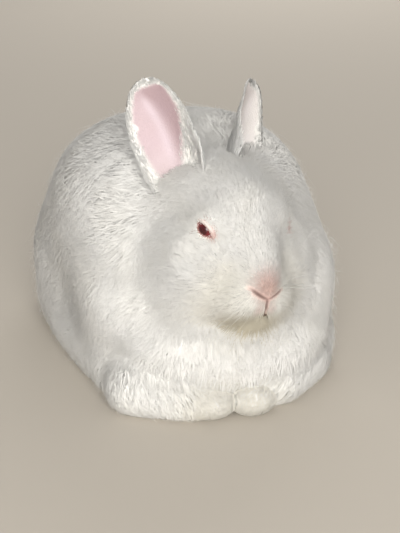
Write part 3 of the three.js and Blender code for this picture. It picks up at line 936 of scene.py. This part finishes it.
def tufts(name, paths, widths, outs, tints, roots_uv, material, flat, own=OWN_SHADING):
    """Closed three-sided tufts along paths (tuft, level, xyz), pointed at the tip. They are shaded as
    facing along outs, and as far as own says by their own roundness."""
    count, levels = paths.shape[:2]
    along = unit(np.gradient(paths, axis=1))
    side = unit(np.cross(along, outs + 1e-4))
    lift = np.cross(side, along)
    share = np.linspace(0, 1, levels)
    profile = (1 - share ** 2) * (0.75 + 0.5 * share)
    spin = random.uniform(-0.35, 0.35, (count, 1))
    own = np.broadcast_to(own, count)[:, None, None]
    rings, facing = [], []
    for j in range(3):
        a = pi / 2 + spin - 2 * pi * j / 3
        offset = np.cos(a)[..., None] * side + flat * np.sin(a)[..., None] * lift
        rings.append(paths + offset * (widths[:, None] * profile[None])[..., None])
        round_out = flat * np.cos(a)[..., None] * side + np.sin(a)[..., None] * lift
        facing.append(unit(outs + own * unit(round_out)))
    points = np.concatenate([np.stack(rings, 2)[:, :-1].reshape(count, -1, 3), paths[:, -1:]], 1)
    normals = np.concatenate([np.stack(facing, 2)[:, :-1].reshape(count, -1, 3), outs[:, -1:]], 1)
    per = 3 * (levels - 1) + 1
    local = [(0, 2, 1)]
    for k in range(levels - 2):
        for j in range(3):
            a, b = 3 * k + j, 3 * k + (j + 1) % 3
            local += [(a, b, a + 3), (b, b + 3, a + 3)]
    last = 3 * (levels - 2)
    local += [(last + j, last + (j + 1) % 3, per - 1) for j in range(3)]
    faces = (np.array(local)[None] + (np.arange(count) * per)[:, None, None]).reshape(-1, 3)
    piece = mesh_object(name, points.reshape(-1, 3), faces, material)
    piece.data.normals_split_custom_set_from_vertices(normals.reshape(-1, 3).astype(np.float32))
    level_of = np.concatenate([np.repeat(share[:-1], 3), [1.0]])
    corner_of = np.concatenate([np.tile([0.0, 0.5, 1.0], levels - 1), [0.5]])
    patch = np.stack([corner_of, level_of], -1) * PATCH
    uv = (roots_uv * (1 - 2 * PATCH))[:, None] + patch[None]
    layer = piece.data.uv_layers.new(name="OFBake")
    layer.uv.foreach_set("vector", uv.reshape(-1, 2)[faces.ravel()].astype(np.float32).ravel())
    root_shade = lerp(ROOT_SHADE, 1.0, level_of)[None, :, None]
    tint_attribute(piece, (tints[:, None] * root_shade).reshape(-1, 3))
    return piece


def slow_turn(p, seed, size):
    """A smooth random angle that changes over the given size, from -1 to 1."""
    draw = np.random.default_rng(seed)
    total = np.zeros(len(p))
    for _ in range(5):
        wave = unit(draw.normal(size=3)) * 2 * pi / (size * draw.uniform(0.7, 1.5))
        total += np.sin(p @ wave + draw.uniform(0, 2 * pi))
    return np.clip(total / 2.6, -1, 1)


BODY_LIE = np.array([0.0, 0.6, -0.8])
NOSE_TIP = np.array([0.0, -40.0, -34.0])


def lie_at(p, normal):
    """Direction in which the coat lies: back from the nose on the head, back and down on the body, and
    towards the toes on the forelegs."""
    lie = np.tile(BODY_LIE, (len(p), 1))
    lie[:, 0] += np.sign(p[:, 0]) * smooth(10, 80, np.abs(p[:, 0])) * 0.25
    for leg in FORELEGS:
        along = unit(np.subtract(leg["paw"], leg["elbow"]))
        share = fall(-2, 10, foreleg_form(leg, LEG_WOOL)(p))
        lie = lie + (0.5 * along + (0, 0, -0.8) - lie) * (0.8 * share)[:, None]
    q = to_head(p)
    from_nose = unit(q - NOSE_TIP + (0, 6, 0)) @ HEAD_AXES.T
    on_head = fall(0, 12, head_form(q))
    lie = lie + (from_nose - lie) * on_head[:, None]
    for s in (-1, 1):
        middle = np.array([s * EYE_PLACE[0], LID_PLACE[1], LID_PLACE[2]])
        from_eye = unit(q - middle) @ HEAD_AXES.T
        near = fall(1, 7, OPENINGS[s](q)) * (s * q[:, 0] > 12) * on_head
        lie = lie + (from_eye - lie) * near[:, None]
    lie -= normal * (lie * normal).sum(-1, keepdims=True)
    return unit(lie)


def rotated(v, axis, angle):
    c, s = np.cos(angle)[:, None], np.sin(angle)[:, None]
    return v * c + np.cross(axis, v) * s + axis * ((v * axis).sum(-1, keepdims=True) * (1 - c))


def grown_paths(roots, length, depth, over, levels, turn, curl, rise):
    """Paths of tufts that follow the lie of the coat and climb from the skin to its outer surface."""
    p = roots
    paths = [p]
    outs = []
    for k in range(1, levels):
        t = k / (levels - 1)
        normal = gradient(outer_form, p)
        outs.append(normal)
        step = rotated(lie_at(p, normal), normal, turn + curl * t)
        p = p + step * (length / (levels - 1))[:, None]
        height = lerp(-depth, over, t ** rise)
        p = p + normal * (height - outer_form(p))[:, None]
        p[:, 2] = np.maximum(p[:, 2], COAT_FLOOR + 2.0 * (1 - t))
        paths.append(p)
    outs.append(normal)
    return np.stack(paths, 1), np.stack(outs, 1)


def clumped(paths, roots, size, strength):
    """Paths drawn together towards the nearest of a few leading tufts."""
    count = len(roots)
    leaders = random.choice(count, max(1, int(count / size)), replace=False)
    nearest = np.empty(count, int)
    at_once = 4000
    for start in range(0, count, at_once):
        block = roots[start:start + at_once]
        gap = ((block[:, None] - roots[leaders][None]) ** 2).sum(-1)
        nearest[start:start + at_once] = leaders[gap.argmin(1)]
    t = np.linspace(0, 1, paths.shape[1]) ** 1.4
    pull = (random.uniform(*strength, count)[:, None] * t)[..., None]
    return paths + (paths[nearest] - paths) * pull


def sample_skin(count, weight):
    """Random points on the skin, as many to an area as weight(points) asks for."""
    mesh = skin.data
    mesh.calc_loop_triangles()
    tri = np.empty(len(mesh.loop_triangles) * 3, np.int32)
    mesh.loop_triangles.foreach_get("vertices", tri)
    corners = points_of(skin)[tri.reshape(-1, 3)]
    across = np.cross(corners[:, 1] - corners[:, 0], corners[:, 2] - corners[:, 0])
    area = norm(across) / 2
    share = area * weight(corners.mean(1))
    chosen = random.choice(len(share), count, p=share / share.sum())
    a, b = random.random((2, count, 1))
    root = np.sqrt(a)
    c = corners[chosen]
    return c[:, 0] * (1 - root) + c[:, 1] * (root * (1 - b)) + c[:, 2] * (root * b)


def off_ears(p):
    clear = np.ones(len(p), bool)
    for s in (-1, 1):
        _, inward, lift, high = ear_share(s, p)
        clear &= ~((np.abs(lift) < 3) & (np.abs(inward) < 1.15) & (high > 5))
    return clear


def eye_gap(p):
    """Distance of points from the nearer eye opening."""
    q = to_head(p)
    nearer = np.minimum(OPENINGS[-1](q), OPENINGS[1](q))
    return np.maximum(nearer, np.abs(q[:, 0]) - LID_PLACE[0] - 2)


def face_line_gap(p):
    q = to_head(p)
    return np.min([cut(q) for cut in FACE_LINES], axis=0)


def coat_tint(p):
    colour = np.tile(WHITE, (len(p), 1))
    for leg in FORELEGS:
        paw = norm(p - leg["paw"])
        colour = mix_tint(colour, CREAM, 0.9 * fall(12, 44, paw))
    colour = mix_tint(colour, CREAM, 0.4 * fall(2, 30, p[:, 2]))
    near_head = fall(0, 14, head_at(p))
    return colour + (face_tint(p) - colour) * near_head[:, None]


PIECE_TRIANGLES = 190000


def split_pieces(total, levels):
    """Slices of tufts, each under the limit on a piece's triangles."""
    most = int(PIECE_TRIANGLES / (6 * (levels - 2) + 4))
    parts = -(-total // most)
    edges = np.linspace(0, total, parts + 1).astype(int)
    return list(zip(edges[:-1], edges[1:]))


def fluff(p):
    """Share of longer fur on the head: behind the cheeks, on the crown and at the throat."""
    q = to_head(p)
    from_face = norm((q - (0, -22, -18)) / (36, 30, 42))
    return smooth(1.15, 1.6, from_face) * fall(0, 12, head_form(q))


BODY_MIDDLE = np.array([0.0, 20.0, 70.0])
HEIGHT_WAVES = {"seed": 9, "size": 30}
BROAD_WAVES = {"seed": 3, "size": 60}
SMALL_WAVES = {"seed": 5, "size": 17}
LEAST_DEPTH = 0.8
LINE_CLEAR = 0.7  # the coat stays this far off the lines of the face
EYE_CLEAR = 0.15
STRAIGHT_ENOUGH = 0.35  # least agreement of a tuft's two ends on which way is out


def coat_layer(name, count, keep, material, slot, *, levels, width, length, over, turn, flat,
               rise=0.35, sink=0.0, clump=None):
    """One layer of the coat over the body and head, its roots drawn where keep says.

    width is half a tuft's width, and what deep coat adds. length is the same, with what loose fur adds.
    over is how far tips stand off the outer surface: in shares of the coat's depth on average and at
    random, and in loose fur. turn is how far tufts turn off the lie of the coat: over broad patches,
    over small ones, singly, and along their length. flat is a section's height to its width, rise how
    late a tuft climbs, sink how deep it starts, and clump a group's size and pull.
    """
    roots = sample_skin(count, keep)
    depth = np.maximum(-outer_form(roots), LEAST_DEPTH)
    thick = np.minimum(depth / BODY_COAT, 1.2)
    loose = fluff(roots)
    long = length[0] + length[1] * thick + length[2] * loose
    long *= random.uniform(*LENGTH_SPREAD, count)
    wide = (width[0] + width[1] * np.minimum(thick, 1)) * random.uniform(*WIDTH_SPREAD, count)
    beyond = over[0] * depth + over[1] * depth * random.uniform(-1, 1, count) ** 3
    beyond += thick * 0.6 * slow_turn(roots, **HEIGHT_WAVES) + loose * random.uniform(0, over[2], count)
    long *= lerp(0.35, 1.0, smooth(0, 9, eye_gap(roots)))
    swing = slow_turn(roots, **BROAD_WAVES) * turn[0] + slow_turn(roots, **SMALL_WAVES) * turn[1]
    swing += random.normal(0, turn[2], count) * (1 + loose)
    curl = random.normal(0, turn[3], count)
    starts = onto(outer_form, roots, -np.minimum(depth, sink)) if sink else roots.copy()
    starts[:, 2] = np.maximum(starts[:, 2], 1.0)
    paths, outs = grown_paths(starts, long, depth, beyond, levels, swing, curl, rise)
    if clump:
        paths = clumped(paths, roots, *clump)
        paths[:, :, 2] = np.maximum(paths[:, :, 2], COAT_FLOOR)
    start_out = gradient(outer_form, starts)
    unbent = (start_out * outs[:, -1]).sum(-1) > STRAIGHT_ENOUGH
    along = paths[:, 1:].reshape(-1, 3)
    clear = (eye_gap(along) > EYE_CLEAR) & (face_line_gap(along) > LINE_CLEAR)
    free = unbent & clear.reshape(count, -1).all(1)
    roots, paths, outs, wide = roots[free], paths[free], outs[free], wide[free]
    tints = coat_tint(roots) * random.uniform(*TINT_SPREAD, (len(roots), 1))
    order = np.argsort(roots[:, 1])
    for i, (start, end) in enumerate(split_pieces(len(roots), levels)):
        part = order[start:end]
        uv = octahedral(roots[part] - BODY_MIDDLE)
        grown = (paths[part], wide[part], outs[part], tints[part])
        body_piece(tufts(f"{name}_{i + 1}", *grown, uv, material, flat), slot)


def wool_keep(p):
    """How densely wool grows: over deep coat, most on the breast and the forelegs."""
    depth = -outer_form(p)
    front = 1 + 1.2 * fall(-90, -40, p[:, 1])
    return np.where((p[:, 2] > 2) & off_ears(p), front * smooth(2.8, 5.8, depth), 0) + 1e-9


def short_keep(p):
    """How densely short fur grows: over shallow coat, off the eyes and the lines of the face."""
    depth = -outer_form(p)
    keep = fall(5, 11, depth) * off_ears(p) * (p[:, 2] > 1.5)
    keep = keep * (eye_gap(p) > 0.6) * (face_line_gap(p) > LINE_CLEAR)
    return keep * np.where(head_at(p) < 6, 1.0, 0.8) + 1e-9


# Fur of the ears
EAR_TUFTS = 14000
EAR_TUFT_HALF = 0.4
EAR_TUFT_RISE = 0.06
RIM_SHADING = 0.25


def ear_fur(name, s):
    """Short fur over an ear's back and rims, longer at its inner edge near the root."""
    count = EAR_TUFTS
    u = random.uniform(0.02, 0.98, count)
    v = random.uniform(-1, 1, count)
    face = random.choice([-1.0, 1.0], count)
    keep = (face < 0) | (random.random(count) > ear_bare(u, v * s))
    keep &= random.random(count) < ear_half_width(u) / (EAR_WIDTH / 2)
    u, v, face = u[keep], v[keep], face[keep]
    thick = EAR_THICK * (1 - EAR_THINNING * u * u) * np.sqrt(1 - v * v)
    root = ear_point(s, u, v, face * thick / 2 * 0.8)
    du, dv = 0.004, 0.02
    along = unit(ear_point(s, np.minimum(u + du, 1), v, 0 * u) - ear_point(s, u - du, v, 0 * u))
    across = unit(ear_point(s, u, v + dv, 0 * u) - ear_point(s, u, v - dv, 0 * u))
    normal = unit(ear_point(s, u, v, face) - ear_point(s, u, v, 0 * u))
    rim = np.maximum(smooth(0.7, 1, np.abs(v)), smooth(0.93, 1, u))
    base = fall(0.25, 0.75, u) * smooth(-0.1, 0.5, v * s)
    splay = smooth(0.6, 1, np.abs(v)) * np.sign(v) * 0.3 + s * base * 0.7
    lie = unit(along + across * splay[:, None] + random.normal(0, 0.06, root.shape))
    long = (2.6 + 0.8 * rim + 2.0 * (1 - u) * (face > 0) + 7 * base) * random.uniform(0.7, 1.25, len(u))
    levels = 3
    t = np.linspace(0, 1, levels)[None, :, None]
    paths = root[:, None] + lie[:, None] * t * long[:, None, None]
    paths = paths + normal[:, None] * (t * (1 - 0.5 * t) * (EAR_TUFT_RISE * long)[:, None, None])
    tints = np.tile(WHITE, (len(u), 1)) * random.uniform(*TINT_SPREAD, (len(u), 1))
    uv = np.stack([u, (v + 1) / 4 + (face > 0) / 2], -1)
    round_rim = across * (np.sign(v) * smooth(0.8, 1, np.abs(v)) * 1.1)[:, None]
    round_rim += along * (smooth(0.9, 1, u) * 0.6)[:, None]
    outs = np.repeat(unit(normal + round_rim)[:, None], levels, 1)
    widths = np.full(len(u), EAR_TUFT_HALF)
    own = lerp(OWN_SHADING, RIM_SHADING, rim)
    piece = tufts(f"ear_fur_{name}", paths, widths, outs, tints, uv, ear_hair_material, 0.25, own)
    body_piece(piece, "ear_skin")


# Whiskers
WHISKER_HALF = 0.08


def make_whiskers():
    """Three rows of four whiskers on each pad of the muzzle."""
    draw = np.random.default_rng(WHISKER_SEED)
    paths = []
    for s in (-1, 1):
        for row in range(3):
            for column in range(4):
                root = np.array([[s * (9 + 3.2 * column), -36 + 2.6 * column, -36 - 4.2 * row]])
                root = onto(head_form, root, -1.5)[0]
                out = unit(np.array([s * (0.75 + 0.1 * column), -0.55 + 0.16 * column, 0.15 - 0.22 * row])
                           + draw.normal(0, 0.07, 3))
                long = draw.uniform(18, 38)
                t = np.linspace(0, 1, 9)[:, None]
                sag = np.array([0, 8.0, -7.0]) * t ** 2
                paths.append(root + out * long * t + sag)
    paths = from_head(np.array(paths))
    count = len(paths)
    outs = np.tile([0.0, 0.0, 1.0], (count, 9, 1))
    uv = octahedral(paths[:, 0] - EYE_MIDDLE)
    tints = np.tile(WHITE, (count, 1))
    widths = np.full(count, WHISKER_HALF)
    piece = tufts("whiskers", paths, widths, outs, tints, uv, whisker_material, flat=1.0)
    body_piece(piece, "short_fur")


# Floor and lights
def make_stage():
    material, _, shader = nodes_of("pale_floor")
    set_inputs(shader, {"Base Color": FLOOR_COLOUR, "Roughness": 0.9})
    corners = np.array([(-1, -1, 0), (1, -1, 0), (1, 1, 0), (-1, 1, 0)]) * FLOOR_HALF
    mesh_object("floor", corners, np.array([(0, 1, 2, 3)]), material)


def area_light(name, place, target, size, power, colour):
    data = bpy.data.lights.new(name, "AREA")
    data.shape = "DISK"
    data.size = size
    data.energy = power
    data.color = colour
    light = new_object(name, data)
    light.location = place
    direction = Vector(target) - Vector(place)
    light.rotation_euler = direction.to_track_quat("-Z", "Y").to_euler()


def make_lights():
    area_light("key", **KEY_LIGHT, target=(0, -0.05, 0.09))
    area_light("fill", **FILL_LIGHT, target=(0, 0.05, 0.09))
    world = bpy.data.worlds.new("studio")
    bpy.context.scene.world = world
    world.use_nodes = True
    set_inputs(world.node_tree.nodes["Background"], {"Color": SKY_COLOUR, "Strength": SKY_STRENGTH})
    bpy.context.scene.view_settings.view_transform = "Standard"


def make_camera():
    a, e = radians(CAMERA_AZIMUTH), radians(CAMERA_ELEVATION)
    back = Vector((sin(a) * cos(e), -cos(a) * cos(e), sin(e)))
    right = Vector((cos(a), sin(a), 0))
    up = back.cross(right)
    pixels = CAMERA_LENS / SENSOR * PICTURE[1]
    aside = (TARGET_PIXEL[0] - PICTURE[0] / 2) / pixels * CAMERA_DISTANCE
    above = -(TARGET_PIXEL[1] - PICTURE[1] / 2) / pixels * CAMERA_DISTANCE
    place = (Vector(CAMERA_TARGET) - right * aside - up * above + back * CAMERA_DISTANCE) * MM
    data = bpy.data.cameras.new("camera")
    data.lens = CAMERA_LENS
    data.sensor_width = SENSOR
    camera = new_object("camera", data)
    camera.matrix_world = Matrix.Translation(place) @ Matrix((right, up, back)).transposed().to_4x4()
    bpy.context.scene.camera = camera


make_camera()
skin = make_skin()
paint_skin(skin)
for ear_name, ear_side in SIDES.items():
    make_eye(ear_name, ear_side)
WOOL = (wool_keep, wool_material, "wool")
coat_layer(
    "under_wool", 36000, *WOOL, levels=3, width=(0.55, 0.55),
    length=(7, 22, 0), over=(-0.03, 0.006, 1), turn=(0.4, 0.25, 0.1, 0.2), flat=0.1, rise=0.05,
)
coat_layer(
    "wool", 96000, *WOOL, levels=2, width=(0.14, 0.08),
    length=(6, 7, 0), over=(0.0, 0.03, 2), turn=(0.4, 0.25, 0.25, 0.0), flat=0.4, rise=1.0, sink=2.2,
)
coat_layer(
    "wool_wisps", 8500, *WOOL, levels=3, width=(0.13, 0.05),
    length=(12, 20, 0), over=(0.22, 0.4, 4), turn=(0.35, 0.3, 0.5, 0.8), flat=0.6, clump=(10, (0.1, 0.5)),
)
coat_layer(
    "short_fur", 38000, short_keep, short_material, "short_fur", levels=3, width=(0.2, 0.2),
    length=(2.8, 12, 7), over=(0, 0.1, 2), turn=(0.1, 0.1, 0.12, 0.2), flat=0.2, rise=0.15,
)
for ear_name, ear_side in SIDES.items():
    ear_fur(ear_name, ear_side)
make_whiskers()
body_piece(
    skin, "wool", "torso", "chest", "neck", "tail", "foreleg_right", "foreleg_left", "haunch_right",
    "haunch_left", "hind_foot_right", "hind_foot_left", "head", "ear_right", "ear_left",
)
make_stage()
make_lights()
